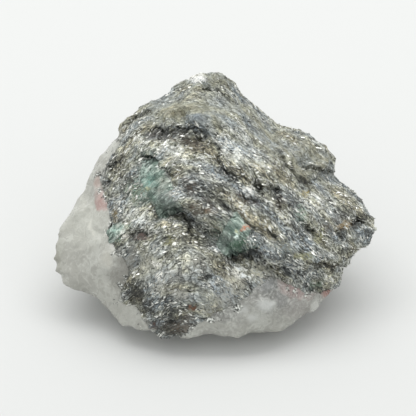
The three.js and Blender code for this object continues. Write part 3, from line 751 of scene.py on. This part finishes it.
def flakes(name, faces_under, count, seed, lengths, weight, lift):
    """One mesh of many small closed plates that lie on faces, more of them where the weight is
    more, with lengths from and to mm."""
    random = np.random.default_rng(seed)
    middles, directions, areas = faces_under
    chance = areas * weight
    chosen = random.choice(len(areas), count, p=chance / chance.sum())
    centres = middles[chosen]
    normals = directions[chosen]
    facing = unit(normals + FLAKE_TILT * random.normal(size=(count, 3)))
    along = grain_directions(centres) + FLAKE_STRAY * random.normal(size=(count, 3))
    along = unit(along - (along * facing).sum(axis=1, keepdims=True) * facing)
    beside = np.cross(facing, along)
    length = lengths[0] + (lengths[1] - lengths[0]) * random.random(count) ** 2
    width = length * random.uniform(*FLAKE_WIDTHS, count)
    middle = centres + normals * lift
    start = random.uniform(0, 1, (count, 1))
    turns = np.linspace(0, 2 * math.pi, FLAKE_CORNERS, endpoint=False) + start
    reach = random.uniform(*FLAKE_RIM, (count, FLAKE_CORNERS))
    rim = (
        middle[:, None]
        + along[:, None] * (reach * np.cos(turns) * length[:, None])[:, :, None]
        + beside[:, None] * (reach * np.sin(turns) * width[:, None])[:, :, None]
    )
    half = facing[:, None] * FLAKE_THICKNESS / 2
    points = np.concatenate([rim - half, rim + half], axis=1).reshape(-1, 3)
    corners = range(FLAKE_CORNERS)
    bottom = list(reversed(corners))
    top = [corner + FLAKE_CORNERS for corner in corners]
    following = [(corner + 1) % FLAKE_CORNERS for corner in corners]
    sides = [[a, b, b + FLAKE_CORNERS, a + FLAKE_CORNERS] for a, b in zip(corners, following)]
    faces = [
        [corner + 2 * FLAKE_CORNERS * flake for corner in face]
        for flake in range(count)
        for face in (bottom, top, *sides)
    ]
    made = bpy.data.meshes.new(name)
    made.from_pydata((points * MM).tolist(), [], faces)
    made.update()
    piece = bpy.data.objects.new(name, made)
    bpy.context.scene.collection.objects.link(piece)
    return piece


def flake_material(name, pale, deep, roughness, metallic):
    """Mica cleaves into mirror-flat plates with a pearly shine, each a little lighter or darker."""
    material, tree, shader = new_material(name)
    place = add_node(tree, "TexCoord", {}).outputs["Object"]
    patches = add_node(tree, "TexNoise", {"Scale": 1 / (0.9 * MM), "Detail": 2}, {"Vector": place})
    ramp = add_node(tree, "ValToRGB", {}, {"Fac": patches.outputs["Fac"]})
    set_stops(ramp, [(0.35, deep), (0.65, pale)])
    tree.links.new(ramp.outputs["Color"], shader.inputs["Base Color"])
    shader.inputs["Roughness"].default_value = roughness
    shader.inputs["Metallic"].default_value = metallic
    return material


schist_faces = face_values(schist.data)
flake_spots = face_places(schist_faces[0])
dark_mica_and_shade = np.minimum(patch_strength(flake_spots, DARK_MICA_AND_PAINTED_SHADE), 1)
painted_highlight = patch_strength(flake_spots, MICA_PAINTED_HIGHLIGHTS)
unrest = np.clip(1 - 1.5 * patch_strength(flake_spots, CALM), 0, 1)
grainy_here = patch_strength(flake_spots, GRAINY)
streaked = np.clip(0.5 + 1.6 * noise_at(grain_places(flake_spots), FLAKE_STREAKS, 5.5), 0.02, 1)
# Few flakes lie over the schist's colour patches and painted light, and over the quartz that
# shows in it.
bareness = (1 - tint_values(flake_spots, SCHIST_TINTS_AND_PAINTED_LIGHT)[:, 3]) * (
    1 - neighbour_share(schist_faces[0], surface_points["milky_quartz"], VEIN_REACH, VEIN_WIDTH)
)
# Bright flakes lie in streaks and where highlights are painted on the mica, and dark ones where
# the mica is darker and where shade is painted on it. The weathered ones lie everywhere else.
FLAKE_KINDS = [
    {
        "name": "silver_mica_flakes",
        "count": 12000,
        "seed": 11,
        "lengths": (0.3, 1.4),
        "weight": streaked * (1 - 0.9 * dark_mica_and_shade) * (0.4 + painted_highlight) * bareness * unrest,
        "lift": 0.03,
        "finish": ("muscovite_mica", "#f3f4ee", "#a2a39c", 0.3, 0.3),
    },
    {
        "name": "weathered_mica_flakes",
        "count": 8000,
        "seed": 12,
        "lengths": (0.2, 0.7),
        "weight": bareness * (1 - 0.5 * dark_mica_and_shade) * (1 - 0.7 * grainy_here),
        "lift": 0.02,
        "finish": ("weathered_mica", "#b2b2a2", "#76766a", 0.35, 0.2),
    },
    {
        "name": "dark_mica_flakes",
        "count": 11000,
        "seed": 13,
        "lengths": (0.2, 1),
        "weight": bareness * unrest * (0.3 + 1.5 * dark_mica_and_shade),
        "lift": 0.02,
        "finish": ("biotite_mica", "#5a5b55", "#232422", 0.28, 0.15),
    },
]
for kind in FLAKE_KINDS:
    finish = kind.pop("finish")
    piece = flakes(faces_under=schist_faces, **kind)
    piece.data.materials.append(flake_material(*finish))
    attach(piece, "root")


# Milky quartz: the pale vein mineral down the left side and under the stone. It breaks in smooth
# shallow shells, and tiny bubbles in it scatter the light, so that it glows a little inside.
QUARTZ_TINTS_AND_PAINTED_SHADE = [
    (-22.5, 0.6, 1.7, 2.4, -20, 0.5, "#a8726d"),
    (-21.6, 1.6, 0.9, 0.8, 0, 0.5, "#a06861"),
    (-23.4, 4.6, 0.5, 1.6, -15, 0.35, "#ad8279"),
    (-20.2, -2.8, 0.5, 1.8, 0, 0.75, "#a98446"),
    (-20.4, 0.6, 0.4, 1.6, 0, 0.5, "#8e8555"),
    (22.8, -17.8, 1.4, 0.7, -15, 0.7, "#93574b"),
    (13, -13.8, 1.6, 1, -20, 0.6, "#a98885"),
    (16.2, -16.4, 3.4, 2.4, -20, 0.75, "#a68f8b"),
    # Painted shade: the grey of the quartz lying in shadow right of the pale lump, and below it.
    (-17.4, -10.6, 1.9, 4, -8, 0.85, "#706f68"),
    (-18.4, -14.2, 3, 2, 0, 0.7, "#73726b"),
    (-21.2, -10.9, 1.2, 1.7, -20, 0.85, "#b9b8af"),
    (-26, -3.4, 4.4, 5.4, 0, 0.6, "#bcbdb4"),
    (-31.6, -9.6, 1.6, 4.4, 0, 0.5, "#87877b"),
    (-24.6, -4.6, 0.6, 2.2, 10, 0.8, "#cfcfc6"),
    (-19.4, -20.6, 4.4, 3, -40, 0.4, "#8d8c84"),
    (17, -20.6, 3.4, 2.4, 0, 0.5, "#989490"),
    (10.4, -19.8, 1.9, 1, 0, 0.9, "#c6c8c5"),
    (19.8, -20.2, 0.8, 1.2, 0, 0.8, "#c4c5c0"),
    (5.4, -20.8, 1.5, 0.9, 20, 0.7, "#bcbebb"),
    (7.6, -22.4, 1.2, 0.8, 0, 0.9, "#c3c5c1"),
    (0, -23.9, 4.6, 0.9, 0, 0.6, "#b0b0a8"),
    (10.6, -16, 2, 1.6, 0, 0.6, "#777a7b"),
    (13.2, -19, 1.3, 2, 20, 0.5, "#7f7f7e"),
    (3, -19.2, 2.6, 1.3, 0, 0.5, "#777a79"),
    (6.4, -17.6, 1.6, 1.2, 0, 0.5, "#8b8d8b"),
]
# Rounded lumps in the quartz: the same five sizes as a patch, and how far they stand up, in mm.
QUARTZ_LUMPS = [
    (10.4, -19.8, 2, 1.2, 0, 0.6),
    (19.6, -20.2, 1.1, 1.2, 0, 0.4),
    (5.8, -21.8, 1.7, 1.1, 0, 0.4),
    (-21.4, -11, 1.6, 2, -20, 0.35),
    (-26.8, -1.2, 2.4, 1, 50, 0.4),
    (-24.4, -8, 2.4, 1, 30, 0.35),
]
# Where the quartz's tip is worn smooth, and where the quartz is glassy and mottled, not milky.
SMOOTH_TIP = [(-33, -9, 4, 7, 0, 1)]
GLASSY = [
    (13, -17, 9, 5, 0, 0.9),
    (0, -22, 6, 3, 0, 0.8),
    (-17, -12, 3, 3.4, 0, 0.4),
]
GLASSY_SHOW = 0.75
QUARTZ_EDGE_STRAY = 0.6
QUARTZ_EDGE_PATCH = 1.6
# The relief of the quartz's break, in mm. Small shells and dents are deeper where it is glassy.
QUARTZ_LIFT = 0.15
SHELL_EDGE = 0.3
SHELL_SIZE = 3.8
SHELL_HEIGHT = 0.26
SMALL_SHELL_SIZE = 1.5
SMALL_SHELL_HEIGHT = 0.1
GLASSY_SHELL_HEIGHT = 0.18
DENT_SIZE = 0.8
DENT_HEIGHT = 0.04
GLASSY_DENT_HEIGHT = 0.08
TIP_EVENNESS = 0.8


def milky_quartz_material():
    """Vein quartz on a fresh break: glassy, grey-white and cloudy, full of veils and bubbles, with
    mica in it along the contact."""
    material, tree, shader = new_material("milky_quartz_fresh_break")
    place = add_node(tree, "TexCoord", {}).outputs["Object"]
    tint_and_painted_light = add_node(tree, "Attribute", {"attribute_name": "tint_and_painted_light"})
    clouds = add_node(tree, "TexNoise", {"Scale": 1 / (5 * MM), "Detail": 4}, {"Vector": place})
    veils = add_node(
        tree, "TexNoise", {"Scale": 1 / (1.4 * MM), "Detail": 5, "Distortion": 1.2}, {"Vector": place}
    )
    bubbles = add_node(tree, "TexVoronoi", {"Scale": 1 / (0.5 * MM)}, {"Vector": place})
    bubble = add_node(
        tree, "MapRange", {"From Min": 0.3, "From Max": 0.1}, {"Value": bubbles.outputs["Distance"]}
    ).outputs["Result"]
    veiled = add_node(
        tree,
        "Math",
        {"operation": "MULTIPLY_ADD", 1: 0.8},
        {0: veils.outputs["Fac"], 2: clouds.outputs["Fac"]},
    ).outputs["Value"]
    cloudy = add_node(
        tree, "Math", {"operation": "MULTIPLY_ADD", 1: 0.12}, {0: bubble, 2: veiled}
    ).outputs["Value"]
    ramp = add_node(tree, "ValToRGB", {}, {"Fac": cloudy})
    set_stops(ramp, [(0.62, "#9a9a93"), (0.9, "#a7a7a0"), (1, "#b4b5ae")])
    neighbour = add_node(tree, "Attribute", {"attribute_name": "neighbour"}).outputs["Fac"]
    glassy = add_node(tree, "Attribute", {"attribute_name": "glassy"}).outputs["Fac"]
    swirls = add_node(
        tree, "TexNoise", {"Scale": 1 / (0.9 * MM), "Detail": 4, "Distortion": 1.6}, {"Vector": place}
    )
    mottled = add_node(tree, "ValToRGB", {}, {"Fac": swirls.outputs["Fac"]})
    set_stops(mottled, [(0.36, "#646563"), (0.46, "#868784"), (0.56, "#a0a19e"), (0.64, "#d2d3cf")])
    scales = add_node(tree, "TexNoise", {"Scale": 1 / (0.4 * MM), "Detail": 4}, {"Vector": place})
    glints = add_node(
        tree, "MapRange", {"From Min": 0.34, "From Max": 0.64}, {"Value": scales.outputs["Fac"]}
    ).outputs["Result"]
    mica = add_node(tree, "ValToRGB", {}, {"Fac": glints})
    set_stops(mica, SCHIST_STOPS)
    colour = ramp.outputs["Color"]
    # The glassy mottling, colour patches with painted shade, and mica near the contact are mixed in.
    for strength, other in (
        (glassy, mottled.outputs["Color"]),
        (tint_and_painted_light.outputs["Alpha"], tint_and_painted_light.outputs["Color"]),
        (neighbour, mica.outputs["Color"]),
    ):
        colour = add_node(
            tree, "Mix", {"data_type": "RGBA"}, {0: strength, 6: colour, 7: other}
        ).outputs[2]
    tree.links.new(colour, shader.inputs["Base Color"])
    rough = add_node(
        tree,
        "MapRange",
        {"From Min": 0.35, "From Max": 0.65, "To Min": 0.12, "To Max": 0.4},
        {"Value": veils.outputs["Fac"]},
    ).outputs["Result"]
    tree.links.new(rough, shader.inputs["Roughness"])
    relief = add_node(
        tree, "Math", {"operation": "MULTIPLY_ADD", 1: 2}, {0: veils.outputs["Fac"], 2: bubble}
    ).outputs["Value"]
    bump = add_node(tree, "Bump", {"Strength": 0.5, "Distance": 0.08 * MM}, {"Height": relief})
    tree.links.new(bump.outputs["Normal"], shader.inputs["Normal"])
    shader.inputs["IOR"].default_value = 1.54
    shader.inputs["Subsurface Weight"].default_value = 0.4
    shader.inputs["Subsurface Radius"].default_value = (1, 1, 1)
    shader.inputs["Subsurface Scale"].default_value = 0.7 * MM
    return material


quartz = surfaces["milky_quartz"]
quartz_points = surface_points["milky_quartz"]
quartz_places = ragged(face_places(quartz_points), QUARTZ_EDGE_STRAY, QUARTZ_EDGE_PATCH)
glassiness = patch_strength(quartz_places, GLASSY)
pushes = SHELL_EDGE * np.concatenate([np.eye(3), -np.eye(3)])
shells, small_shells = [
    np.mean([tilted_plates(quartz_points + push, size, seed) for push in pushes], axis=0)
    for size, seed in ((SHELL_SIZE, 1.3), (SMALL_SHELL_SIZE, 4.1))
]
dents = noise_at(quartz_points, DENT_SIZE)
unevenness = 1 - TIP_EVENNESS * patch_strength(quartz_places, SMOOTH_TIP)
raise_surface(
    "milky_quartz",
    QUARTZ_LIFT
    + SHELL_HEIGHT * unevenness * shells
    + (SMALL_SHELL_HEIGHT * unevenness + GLASSY_SHELL_HEIGHT * glassiness) * small_shells
    + (DENT_HEIGHT * unevenness + GLASSY_DENT_HEIGHT * glassiness) * dents
    + patch_strength(quartz_places, QUARTZ_LUMPS),
)
keep_attribute(quartz.data, "tint_and_painted_light", "FLOAT_COLOR", "color", tint_values(quartz_places, QUARTZ_TINTS_AND_PAINTED_SHADE))
quartz_mica = neighbour_share(quartz_points, surface_points["mica_schist"], 0, -VEIN_WIDTH)
keep_attribute(quartz.data, "neighbour", "FLOAT", "value", quartz_mica)
keep_attribute(quartz.data, "glassy", "FLOAT", "value", GLASSY_SHOW * glassiness)
quartz.data.shade_smooth()
quartz.data.materials.append(milky_quartz_material())
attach(quartz, "root")
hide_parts("milky_quartz")

# Mica flakes in the quartz along the contact.
SCATTER_REACH = 0.5
SCATTER_LENGTHS = (0.2, 0.7)
SCATTER_LIFT = 0.02
quartz_faces = face_values(quartz.data)
scatter_weight = neighbour_share(
    quartz_faces[0], surface_points["mica_schist"], SCATTER_REACH, -VEIN_WIDTH
) * (face_places(quartz_faces[0])[:, 2] > FRONT_FROM)
for name, count, seed, finish in (
    ("pale_mica_scatter", 1200, 21, "muscovite_mica"),
    ("dark_mica_scatter", 1800, 22, "biotite_mica"),
):
    piece = flakes(name, quartz_faces, count, seed, SCATTER_LENGTHS, scatter_weight, SCATTER_LIFT)
    piece.data.materials.append(bpy.data.materials[finish])
    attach(piece, "root")


# Emeralds: cloudy green beryl, broken across with the stone. Fine cracks and the mica scales
# that grew into them make them more grey than clear.
EMERALD_SCALE = 0.4
EMERALD_CONTACT_REACH = 0.5
EMERALD_CONTACT_WIDTH = 1.2
EMERALD_STOPS = [
    (0.04, "#252c29"),
    (0.24, "#525c57"),
    (0.42, "#77827c"),
    (0.58, "#9aa49d"),
    (0.74, "#c4cac4"),
    (0.9, "#f1f3ee"),
]
EMERALD_HUES = [(0.34, "#eef1f1"), (0.5, "#dfece6"), (0.66, "#fafbf4")]
EMERALD_TINTS_AND_PAINTED_SHADE = [
    (-12.8, 4.8, 1.5, 1.5, -30, 0.5, "#74a095"),
    (-14.4, 2.6, 1.2, 1.4, 0, 0.45, "#789d92"),
    (-9.2, 0.8, 2.4, 2, -30, 0.6, "#666d69"),
    (-12, 8.4, 1.8, 0.7, -25, 0.5, "#55695d"),
    (-10.6, 3.4, 0.9, 1.8, -20, 0.45, "#a9aaa2"),
    (-12.6, 1.4, 1.3, 0.7, -40, 0.5, "#5c7468"),
    (-11, 5.6, 0.6, 1.2, -30, 0.5, "#5e776b"),
    (-13.2, 3.1, 0.8, 0.4, 10, 0.8, "#cfd2b2"),
    (-11.4, 7.8, 0.5, 0.4, 0, 0.9, "#e9efe9"),
    (-13.8, 6.6, 0.5, 1, -30, 0.7, "#bccfc4"),
    (3.4, -4.8, 2.6, 2.2, 0, 0.65, "#5f746a"),
    (4.8, -7.8, 2.8, 1.6, 20, 0.85, "#36513f"),
    # Painted shadow: the green-black band under the emerald's lower edge, at the lip.
    (5.2, -9.2, 2.8, 1.1, 14, 1, "#1d3028"),
    (2.8, -7, 2.8, 2.4, 0, 0.65, "#4f5852"),
    (5.8, -4.6, 1, 0.65, 8, 0.95, "#b67555"),
    (4.5, -5.6, 0.7, 0.8, 20, 0.85, "#c6cba8"),
    (4.4, -6.2, 0.7, 0.3, 0, 0.8, "#dfeee6"),
    (-19.6, -5, 1, 0.5, 15, 0.7, "#b5d2c6"),
]

emerald_finish = scaly_material(
    "cloudy_emerald_fresh_break", EMERALD_STOPS, EMERALD_HUES, EMERALD_SCALE, SCHIST_STOPS
)
for node in ("emerald_upper", "emerald_middle", "emerald_left"):
    dress_break(
        node,
        EMERALD_TINTS_AND_PAINTED_SHADE,
        emerald_finish,
        "mica_schist",
        EMERALD_CONTACT_REACH,
        EMERALD_CONTACT_WIDTH,
    )


# The stage: a plain pale floor, and soft studio light from above and a little behind the stone.
FLOOR_SIDE = 3
LIGHT_WIDTH = 0.9
LIGHT_DEPTH = 0.3
LIGHT_PLACE = (-0.02, 0.18, 0.6)
LIGHT_POWER = 3
SKY_STRENGTH = 0.9

floor_mesh = bpy.data.meshes.new("floor")
half = FLOOR_SIDE / 2
floor_mesh.from_pydata(
    [(-half, -half, 0), (half, -half, 0), (half, half, 0), (-half, half, 0)], [], [(0, 1, 2, 3)]
)
floor = bpy.data.objects.new("floor", floor_mesh)
bpy.context.scene.collection.objects.link(floor)
paper, _, paper_shader = new_material("white_paper_floor")
paper_shader.inputs["Base Color"].default_value = linear_colour("#cfd0cf")
paper_shader.inputs["Roughness"].default_value = 0.9
paper_shader.inputs["Specular IOR Level"].default_value = 0.1
floor_mesh.materials.append(paper)

softbox = bpy.data.objects.new("softbox", bpy.data.lights.new("softbox", "AREA"))
softbox.data.shape = "RECTANGLE"
softbox.data.size = LIGHT_WIDTH
softbox.data.size_y = LIGHT_DEPTH
softbox.data.energy = LIGHT_POWER
softbox.location = LIGHT_PLACE
softbox.rotation_mode = "QUATERNION"
softbox.rotation_quaternion = (-Vector(LIGHT_PLACE)).to_track_quat("-Z", "Y")
bpy.context.scene.collection.objects.link(softbox)

studio = bpy.data.worlds.new("studio")
studio.use_nodes = True
studio.node_tree.nodes["Background"].inputs["Color"].default_value = linear_colour("#fcfdfc")
studio.node_tree.nodes["Background"].inputs["Strength"].default_value = SKY_STRENGTH
bpy.context.scene.world = studio
bpy.context.scene.view_settings.view_transform = "Standard"
